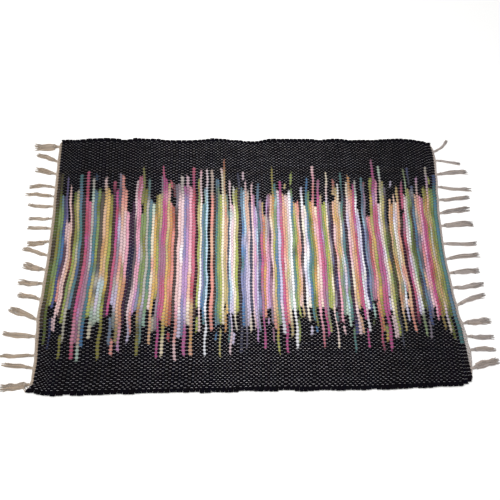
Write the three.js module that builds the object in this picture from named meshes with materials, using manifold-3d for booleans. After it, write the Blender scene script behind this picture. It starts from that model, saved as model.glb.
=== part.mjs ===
// A hand-woven rag dhurrie, 900 by 600 mm, lying flat with its knotted warp ends spread out on the floor.
// Cotton warp runs along X and rag strips are beaten in across it along Y, one rib for each strip.
// Millimetres, +Z up. The origin is the middle of the flat underside, on the floor.
import * as THREE from 'three';
import Module from 'manifold-3d';

const wasm = await Module();
wasm.setup();

// Driving dimensions of the woven cloth: 136 rag picks, each a rib with a turn at the selvedge.
const cloth = { picks: 136, thick: 6.2, groove: 1.5, rim: 3.2, turn: 1.2, uneven: 0.35 };

// The cotton heading is a thin strip at each end, parted from the rag cloth by a narrow gap.
const heading = { thick: 3.4, shoulder: 2.2, bevel: 1.2, gap: 0.35 };

// A tassel is a thin neck, a knot and a bundle of locks. Sizes are for a bundle 10 mm wide at its tip.
const neck = { wide: 3.3, high: 2.5, sunk: 2 };
const knot = { at: 12.5, long: 8, wide: 8.2, high: 5.8 };
const lock = { start: 14, root: 2, tip: 1.2, high: 2, gathered: 0.5, steps: 2 };

// Across the rug, from the near selvedge to the far one: where the rag weft stops and the heading ends.
const ends = [
  { y: -306, leftRag: -448, leftEdge: -454, rightRag: 441, rightEdge: 450 },
  { y: -280, leftRag: -445, leftEdge: -449, rightRag: 446, rightEdge: 459 },
  { y: -240, leftRag: -443, leftEdge: -448, rightRag: 444, rightEdge: 458 },
  { y: -190, leftRag: -444, leftEdge: -450, rightRag: 442, rightEdge: 451 },
  { y: -140, leftRag: -447, leftEdge: -452, rightRag: 436, rightEdge: 443 },
  { y: -90, leftRag: -443, leftEdge: -449, rightRag: 433, rightEdge: 439 },
  { y: 0, leftRag: -440, leftEdge: -445, rightRag: 430, rightEdge: 435 },
  { y: 90, leftRag: -441, leftEdge: -446, rightRag: 432, rightEdge: 438 },
  { y: 150, leftRag: -443, leftEdge: -448, rightRag: 437, rightEdge: 443 },
  { y: 200, leftRag: -445, leftEdge: -449, rightRag: 443, rightEdge: 448 },
  { y: 250, leftRag: -445, leftEdge: -450, rightRag: 446, rightEdge: 452 },
  { y: 306, leftRag: -444, leftEdge: -449, rightRag: 443, rightEdge: 448 },
];

// Along the rug, from left to right: where the near and far selvedges run.
const selvedges = [
  { x: -448, near: -302, far: 297 },
  { x: -420, near: -307, far: 300 },
  { x: -350, near: -307, far: 306 },
  { x: -300, near: -307, far: 303 },
  { x: -260, near: -306, far: 307 },
  { x: -160, near: -306, far: 301 },
  { x: -80, near: -306, far: 307 },
  { x: -30, near: -306, far: 304 },
  { x: 10, near: -306, far: 298 },
  { x: 60, near: -306, far: 306 },
  { x: 140, near: -305, far: 306 },
  { x: 180, near: -304, far: 304 },
  { x: 220, near: -304, far: 308 },
  { x: 250, near: -303, far: 303 },
  { x: 310, near: -302, far: 306 },
  { x: 370, near: -300, far: 309 },
  { x: 400, near: -300, far: 307 },
  { x: 425, near: -300, far: 302 },
  { x: 446, near: -291, far: 295 },
];

// Tassels from the far corner to the near one: root on the heading, tip on the floor, width of the
// bundle at its tip, and how far its middle bows sideways.
const leftTassels = [
  { root: 283, tipX: -507, tipY: 280, wide: 17, bow: 1, locks: 7 },
  { root: 240, tipX: -497, tipY: 259, wide: 6, bow: -2, locks: 3 },
  { root: 206, tipX: -498, tipY: 219, wide: 11, bow: 0, locks: 5 },
  { root: 170, tipX: -506, tipY: 169, wide: 8, bow: 8, locks: 4 },
  { root: 146, tipX: -512, tipY: 153, wide: 9, bow: -1, locks: 5 },
  { root: 120, tipX: -503, tipY: 124, wide: 8, bow: 2, locks: 4 },
  { root: 89, tipX: -498, tipY: 88, wide: 8, bow: 1, locks: 4 },
  { root: 63, tipX: -497, tipY: 65, wide: 8, bow: -1, locks: 4 },
  { root: 32, tipX: -493, tipY: 26, wide: 10, bow: 2, locks: 5 },
  { root: -3, tipX: -501, tipY: 14, wide: 9, bow: 0, locks: 5 },
  { root: -37, tipX: -495, tipY: -26, wide: 14, bow: 1, locks: 6 },
  { root: -69, tipX: -501, tipY: -65, wide: 9, bow: 2, locks: 5 },
  { root: -106, tipX: -498, tipY: -95, wide: 9, bow: -2, locks: 5 },
  { root: -151, tipX: -512, tipY: -126, wide: 11, bow: -2, locks: 5 },
  { root: -187, tipX: -516, tipY: -179, wide: 10, bow: 2, locks: 5 },
  { root: -227, tipX: -516, tipY: -227, wide: 7, bow: 1, locks: 4 },
  { root: -254, tipX: -510, tipY: -246, wide: 8, bow: -2, locks: 4 },
  { root: -286, tipX: -507, tipY: -293, wide: 14, bow: 1, locks: 6 },
];
const rightTassels = [
  { root: 272, tipX: 489, tipY: 306, wide: 5, bow: -4, locks: 3 },
  { root: 247, tipX: 510, tipY: 237, wide: 5, bow: 1, locks: 3 },
  { root: 207, tipX: 524, tipY: 215, wide: 10, bow: 2, locks: 5 },
  { root: 173, tipX: 525, tipY: 164, wide: 8, bow: -1, locks: 4 },
  { root: 137, tipX: 516, tipY: 146, wide: 9, bow: -2, locks: 4 },
  { root: 101, tipX: 512, tipY: 114, wide: 11, bow: 1, locks: 5 },
  { root: 68, tipX: 513, tipY: 74, wide: 13, bow: 2, locks: 6 },
  { root: 23, tipX: 512, tipY: 23, wide: 8, bow: -1, locks: 4 },
  { root: -16, tipX: 513, tipY: -5, wide: 9, bow: 2, locks: 5 },
  { root: -50, tipX: 505, tipY: -45, wide: 10, bow: 1, locks: 5 },
  { root: -85, tipX: 509, tipY: -76, wide: 10, bow: -2, locks: 5 },
  { root: -126, tipX: 508, tipY: -102, wide: 9, bow: 3, locks: 5 },
  { root: -167, tipX: 511, tipY: -162, wide: 12, bow: 1, locks: 5 },
  { root: -196, tipX: 510, tipY: -198, wide: 9, bow: -1, locks: 5 },
  { root: -226, tipX: 508, tipY: -225, wide: 9, bow: 1, locks: 4 },
  { root: -266, tipX: 510, tipY: -250, wide: 13, bow: 2, locks: 6 },
];

// Rows of the cloth from the near selvedge (0) to the far one (1), and columns per patch underneath.
const acrossRows = [0, 0.006, 0.1, 0.25, 0.42, 0.58, 0.75, 0.9, 0.994, 1];
const lastRow = acrossRows.length - 1;
const lastColumn = 2 * cloth.picks;
const patch = 16;

const { lerp, smoothstep } = THREE.MathUtils;

// A value of a table's column at a place along its key, eased from row to row.
function along(table, key, at, column) {
  const after = Math.max(1, table.findIndex((row) => row[key] >= at));
  const next = at > table.at(-1)[key] ? table.length - 1 : after;
  const [low, high] = [table[next - 1], table[next]];
  return lerp(low[column], high[column], smoothstep(at, low[key], high[key]));
}

// The plan position of a point of the rag cloth, from a share of its length and of its width.
function plan(alongShare, acrossShare) {
  const nominal = lerp(selvedges[0].x, selvedges.at(-1).x, alongShare);
  const y = lerp(
    along(selvedges, 'x', nominal, 'near'),
    along(selvedges, 'x', nominal, 'far'),
    acrossShare,
  );
  const x = lerp(along(ends, 'y', y, 'leftRag'), along(ends, 'y', y, 'rightRag'), alongShare);
  return { x, y };
}

// A closed mesh from corners and the triangles between them, turned so that its faces point out.
function solid(points, triangles) {
  const corners = points.map((point) => new THREE.Vector3(...point));
  const triple = ([a, b, c]) => corners[a].dot(corners[b].clone().cross(corners[c]));
  const volume = triangles.reduce((sum, triangle) => sum + triple(triangle), 0);
  const outward = volume > 0 ? triangles : triangles.map(([a, b, c]) => [a, c, b]);
  const geometry = new THREE.BufferGeometry();
  geometry.setAttribute('position', new THREE.Float32BufferAttribute(points.flat(), 3));
  geometry.setIndex(outward.flat());
  return geometry;
}

// The rag cloth: ribs are raised in the points of the top face, and the underside is flat.
function ragCloth() {
  const points = [];
  const triangles = [];
  const index = new Map();
  const quad = (a, b, c, d) => triangles.push([a, b, c], [a, c, d]);

  // Even columns are the grooves between picks and odd ones their crests. A rag strip turns round the
  // outer warp from one pick to the next, so every second groove bulges out at each selvedge.
  function outward(column, row) {
    if (column % 2 || (row > 0 && row < lastRow)) return 0;
    const groove = column / 2 + (row === lastRow ? 1 : 0);
    const turn = groove % 2 ? -cloth.turn : cloth.turn;
    return row === 0 ? -turn : turn;
  }
  function height(column, row, x, y) {
    const wave = cloth.uneven * Math.sin(x / 83 + 1.3) * Math.sin(y / 61 + 0.4);
    const groove = column % 2 ? 0 : cloth.groove;
    const atRim = row === 0 || row === lastRow;
    return atRim ? cloth.rim - groove / 2 : cloth.thick - groove + wave;
  }
  function corner(column, row, level) {
    const name = `${level} ${column} ${row}`;
    if (!index.has(name)) {
      const { x, y } = plan(column / lastColumn, acrossRows[row]);
      const z = level === 'top' ? height(column, row, x, y) : 0;
      index.set(name, points.length);
      points.push([x, y + outward(column, row), z]);
    }
    return index.get(name);
  }
  const top = (column, row) => corner(column, row, 'top');
  const under = (column, row) => corner(column, row, 'under');

  for (let row = 0; row < lastRow; row += 1) {
    for (let column = 0; column < lastColumn; column += 1) {
      quad(top(column, row), top(column + 1, row), top(column + 1, row + 1), top(column, row + 1));
    }
    quad(top(0, row), top(0, row + 1), under(0, row + 1), under(0, row));
    quad(
      top(lastColumn, row + 1),
      top(lastColumn, row),
      under(lastColumn, row),
      under(lastColumn, row + 1),
    );
  }
  for (let column = 0; column < lastColumn; column += 1) {
    quad(top(column + 1, 0), top(column, 0), under(column, 0), under(column + 1, 0));
    quad(
      top(column, lastRow),
      top(column + 1, lastRow),
      under(column + 1, lastRow),
      under(column, lastRow),
    );
  }

  // The underside has wide patches, with a fan from each patch's corners to the points of the rim.
  for (let left = 0; left < lastColumn; left += patch) {
    const right = left + patch;
    const middle = left + patch / 2;
    for (let row = 1; row < lastRow - 1; row += 1) {
      quad(under(left, row), under(left, row + 1), under(right, row + 1), under(right, row));
    }
    for (const [rim, inner, near] of [[0, 1, true], [lastRow, lastRow - 1, false]]) {
      const face = (a, b, c) => triangles.push(near ? [a, b, c] : [a, c, b]);
      for (let column = left; column < right; column += 1) {
        const pivot = under(column < middle ? left : right, inner);
        face(pivot, under(column + 1, rim), under(column, rim));
      }
      face(under(left, inner), under(right, inner), under(middle, rim));
    }
  }
  return solid(points, triangles);
}

// A closed body through rings of points, all with the same count.
function loft(rings) {
  const count = rings[0].length;
  const triangles = [];
  for (let ring = 0; ring < rings.length - 1; ring += 1) {
    for (let side = 0; side < count; side += 1) {
      const a = ring * count + side;
      const b = ring * count + ((side + 1) % count);
      triangles.push([a, b, b + count], [a, b + count, a + count]);
    }
  }
  const last = (rings.length - 1) * count;
  for (let side = 1; side < count - 1; side += 1) {
    triangles.push([0, side + 1, side], [last, last + side, last + side + 1]);
  }
  return solid(rings.flat(), triangles);
}

// The strip of plain cotton weft at one end, outside the rag cloth.
function headingStrip(side) {
  const rag = side < 0 ? 'leftRag' : 'rightRag';
  const edge = side < 0 ? 'leftEdge' : 'rightEdge';
  const rings = acrossRows.map((share) => {
    const { x, y } = plan(side < 0 ? 0 : 1, share);
    const inner = x + side * heading.gap;
    const outer = along(ends, 'y', y, edge) + (x - along(ends, 'y', y, rag));
    const crest = outer - side * heading.bevel;
    return [
      [inner, y, 0],
      [inner, y, heading.thick],
      [crest, y, heading.thick],
      [outer, y, heading.shoulder],
      [outer, y, 0],
    ];
  });
  return loft(rings);
}

// A ring of points across a path on the floor: centre, direction of travel, width and height.
function floorRing(centre, heading2d, wide, high, outline) {
  const across = new THREE.Vector2(-heading2d.y, heading2d.x);
  return outline.map(([side, up]) => [
    centre.x + across.x * side * wide,
    centre.y + across.y * side * wide,
    up * high,
  ]);
}
const lumpOutline = [[0.36, 0], [0.5, 0.45], [0.24, 1], [-0.24, 1], [-0.5, 0.45], [-0.36, 0]];
const lockOutline = [[0.5, 0], [0, 1], [-0.5, 0]];

// A tassel's bowed centre line on the floor, by distance from its root.
function tasselLine(tassel, side) {
  const edge = side < 0 ? 'leftEdge' : 'rightEdge';
  const root = new THREE.Vector2(along(ends, 'y', tassel.root, edge), tassel.root);
  const tip = new THREE.Vector2(tassel.tipX, tassel.tipY);
  const long = root.distanceTo(tip);
  const forward = tip.clone().sub(root).normalize();
  const across = new THREE.Vector2(-forward.y, forward.x);
  const at = (distance) => {
    const share = THREE.MathUtils.clamp(distance / long, 0, 1);
    const bow = tassel.bow * Math.sin(Math.PI * share);
    return root.clone().addScaledVector(forward, distance).addScaledVector(across, bow);
  };
  return { at, long, forward, across };
}

// Neck and knot, as one lump that starts inside the heading.
function tasselHead(tassel, line) {
  const bulk = Math.sqrt(tassel.wide / 10);
  const half = knot.long / 2;
  const stations = [
    { d: -neck.sunk, wide: neck.wide * 1.4, high: neck.high * 0.9 },
    { d: knot.at - half - 1, wide: neck.wide * bulk, high: neck.high },
    { d: knot.at - half * 0.6, wide: knot.wide * 0.8 * bulk, high: knot.high * 0.8 },
    { d: knot.at, wide: knot.wide * bulk, high: knot.high * bulk },
    { d: knot.at + half * 0.6, wide: knot.wide * 0.8 * bulk, high: knot.high * 0.8 },
    { d: knot.at + half + 1, wide: neck.wide * 1.5 * bulk, high: neck.high * 1.2 },
  ];
  return loft(stations.map(({ d, wide, high }) =>
    floorRing(line.at(d), line.forward, wide, high, lumpOutline)));
}

// Locks that leave the knot gathered and spread towards their tips, each with its own length and curl.
function tasselLocks(tassel, line) {
  const geometries = [];
  for (let n = 0; n < tassel.locks; n += 1) {
    const place = tassel.locks === 1 ? 0 : n / (tassel.locks - 1) - 0.5;
    const spread = place * (tassel.wide - lock.tip);
    const long = line.long * (1 - 0.07 * Math.abs(Math.sin(5 * n + tassel.root)));
    const curl = 0.8 * Math.sin(3 * n + tassel.tipY);
    const rings = [];
    for (let step = 0; step <= lock.steps; step += 1) {
      const share = step / lock.steps;
      const centre = line.at(lerp(lock.start, long, share));
      const sideways = spread * lerp(lock.gathered, 1, share) + curl * share * (1 - share);
      centre.addScaledVector(line.across, sideways);
      const wide = lerp(lock.root, lock.tip, share);
      rings.push(floorRing(centre, line.forward, wide, lerp(lock.high, lock.tip, share), lockOutline));
    }
    geometries.push(loft(rings));
  }
  return geometries;
}

// Solids joined into one body.
function joined(geometries) {
  const bodies = geometries.map((geometry) => new wasm.Manifold(new wasm.Mesh({
    numProp: 3,
    vertProperties: Float32Array.from(geometry.attributes.position.array),
    triVerts: Uint32Array.from(geometry.index.array),
  })));
  const mesh = bodies.reduce((whole, body) => whole.add(body)).getMesh();
  const geometry = new THREE.BufferGeometry();
  geometry.setAttribute('position', new THREE.BufferAttribute(mesh.vertProperties, 3));
  geometry.setIndex(new THREE.BufferAttribute(mesh.triVerts, 1));
  return geometry;
}

// One end of the rug: the heading strip with all its tassels.
function fringe(side, tassels) {
  const pieces = [headingStrip(side)];
  for (const tassel of tassels) {
    const line = tasselLine(tassel, side);
    pieces.push(tasselHead(tassel, line), ...tasselLocks(tassel, line));
  }
  return joined(pieces);
}

function named(name, geometry, color) {
  geometry.computeVertexNormals();
  const material = new THREE.MeshStandardMaterial({ color, roughness: 0.95, metalness: 0 });
  const mesh = new THREE.Mesh(geometry, material);
  mesh.name = name;
  return mesh;
}

const rug = new THREE.Group();
rug.add(named('rag_cloth', ragCloth(), '#7d6f72'));
rug.add(named('fringe_left', fringe(-1, leftTassels), '#a89c8e'));
rug.add(named('fringe_right', fringe(1, rightTassels), '#a89c8e'));

export default rug;
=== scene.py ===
"""Looks of a rag dhurrie: torn cotton strips woven across a cotton warp, with knotted fringes."""
import math

import bmesh
import bpy
import numpy as np
from bpy.props import FloatProperty, FloatVectorProperty, IntProperty, PointerProperty
from mathutils import Matrix, Vector


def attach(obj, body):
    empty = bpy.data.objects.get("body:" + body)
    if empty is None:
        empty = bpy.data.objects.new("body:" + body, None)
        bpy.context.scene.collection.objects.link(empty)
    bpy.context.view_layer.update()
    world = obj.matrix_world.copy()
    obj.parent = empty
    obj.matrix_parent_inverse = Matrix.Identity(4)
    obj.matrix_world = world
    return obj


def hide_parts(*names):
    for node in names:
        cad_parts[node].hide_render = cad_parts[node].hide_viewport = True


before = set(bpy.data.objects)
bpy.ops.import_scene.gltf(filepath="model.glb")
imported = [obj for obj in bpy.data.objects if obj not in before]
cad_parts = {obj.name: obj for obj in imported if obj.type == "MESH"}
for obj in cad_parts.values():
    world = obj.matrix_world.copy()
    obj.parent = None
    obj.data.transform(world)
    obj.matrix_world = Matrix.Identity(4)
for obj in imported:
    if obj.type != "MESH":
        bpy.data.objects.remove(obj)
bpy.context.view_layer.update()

bl_info = {
    "name": "Rag dhurrie",
    "version": (1, 0, 0),
    "blender": (4, 5, 0),
    "location": "View3D > Sidebar > Dhurrie",
    "description": "Weaves the rag cloth, its cotton warp, its headings and its knotted fringes",
    "category": "Object",
}

MM = 0.001
BAKE_MAP = "OFBake"

# The cloth is 136 picks of the solid rag cloth long, and places along it are counted in those picks.
CLOTH_PICKS = 136

# The two short ends of the rug. In ENDS, the rags end and the heading ends in these columns.
LEFT, RIGHT = -1, 1
RAGS_END = {LEFT: 1, RIGHT: 3}
HEADING_END = {LEFT: 2, RIGHT: 4}

# Across the rug, from the near selvedge to the far one, in millimetres:
# y, end of the rags and end of the heading at the left, and the same at the right.
ENDS = MM * np.array([
    (-306, -444, -450, 441, 442),
    (-280, -442, -448, 446, 448),
    (-240, -440, -447, 444, 454),
    (-190, -442, -450, 442, 451),
    (-140, -445, -452, 436, 443),
    (-90, -442, -449, 433, 439),
    (0, -439, -446, 430, 435),
    (90, -439, -446, 432, 438),
    (150, -441, -448, 437, 443),
    (200, -442, -449, 443, 448),
    (250, -443, -450, 446, 452),
    (306, -444, -449, 443, 448),
])

# Along the rug, from left to right, in millimetres: x, near selvedge and far selvedge.
NEAR, FAR = 1, 2
SELVEDGES = MM * np.array([
    (-448, -304, 299),
    (-420, -310, 301),
    (-350, -310, 306),
    (-300, -309, 303),
    (-260, -309, 307),
    (-160, -308, 301),
    (-80, -308, 307),
    (-30, -307, 304),
    (10, -306, 298),
    (60, -307, 306),
    (140, -308, 306),
    (180, -308, 304),
    (220, -308, 308),
    (250, -307, 303),
    (310, -305, 306),
    (370, -303, 309),
    (400, -303, 307),
    (425, -302, 302),
    (446, -291, 295),
])

# Tassels from the far corner to the near one, in millimetres: root on the heading, x and y of the tip,
# width at the tip and sideways bow of the middle.
LEFT_TASSELS = MM * np.array([
    (283, -507, 280, 17, 1),
    (240, -499, 260, 10, -2),
    (206, -498, 219, 11, 0),
    (170, -506, 169, 8, -5),
    (146, -512, 153, 9, -1),
    (120, -503, 124, 8, 2),
    (89, -498, 88, 8, 1),
    (63, -497, 65, 8, -1),
    (32, -493, 26, 10, 2),
    (-3, -501, 14, 9, 0),
    (-37, -495, -26, 14, 1),
    (-69, -501, -65, 9, 2),
    (-106, -498, -95, 9, -2),
    (-151, -512, -126, 11, -2),
    (-187, -516, -179, 10, 2),
    (-227, -516, -227, 7, 1),
    (-254, -510, -246, 8, -2),
    (-286, -507, -293, 14, 1),
])
RIGHT_TASSELS = MM * np.array([
    (272, 489, 306, 5, -4),
    (247, 510, 237, 5, 1),
    (207, 524, 215, 10, 2),
    (173, 525, 164, 8, -1),
    (137, 516, 146, 9, -2),
    (101, 512, 114, 11, 1),
    (68, 513, 74, 13, 2),
    (23, 512, 23, 8, -1),
    (-16, 513, -5, 9, 2),
    (-50, 505, -45, 10, 1),
    (-85, 509, -76, 10, -2),
    (-126, 508, -102, 9, 3),
    (-167, 511, -162, 12, 1),
    (-196, 510, -198, 9, -1),
    (-226, 508, -225, 9, 1),
    (-266, 510, -250, 13, 2),
])

# Shades of the undyed cotton in the two fringes and in the warp, in red, green and blue.
LEFT_SHADE = np.array([1.37, 1.2, 1.0])
RIGHT_SHADE = np.array([1.22, 1.13, 1.09])
WARP_SHADE = np.array([0.95, 0.98, 1.08])

# Colours are worked out to this many millimetres each side of the middle of the rug.
DYE_REACH = 320

# Dyed cottons, by a weaver's names for them.
DYES = {
    "black": (7, 5, 12),
    "plum": (56, 32, 54),
    "wine": (52, 20, 36),
    "maroon": (60, 29, 38),
    "charcoal": (50, 45, 52),
    "slate": (62, 64, 84),
    "ink": (34, 34, 62),
    "umber": (64, 50, 46),
    "rust": (150, 80, 66),
    "indigo": (70, 76, 124),
    "periwinkle": (122, 122, 166),
    "blue": (70, 112, 160),
    "cobalt": (86, 138, 200),
    "steel": (92, 120, 142),
    "teal": (74, 118, 118),
    "sky": (160, 194, 212),
    "mint": (158, 188, 173),
    "sage": (118, 142, 88),
    "moss": (82, 94, 46),
    "olive": (128, 122, 60),
    "lime": (152, 162, 80),
    "khaki": (176, 162, 108),
    "gold": (204, 164, 86),
    "amber": (186, 132, 76),
    "peach": (206, 164, 134),
    "salmon": (212, 136, 125),
    "blush": (216, 186, 192),
    "shell": (214, 178, 177),
    "pink": (216, 150, 174),
    "rose": (180, 84, 114),
    "crimson": (164, 62, 82),
    "fuchsia": (174, 74, 132),
    "mauve": (152, 107, 132),
    "heather": (130, 120, 136),
    "lilac": (174, 134, 184),
    "lavender": (183, 177, 209),
    "cream": (222, 211, 186),
    "white": (226, 225, 231),
    "stone": (172, 167, 157),
}

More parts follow.
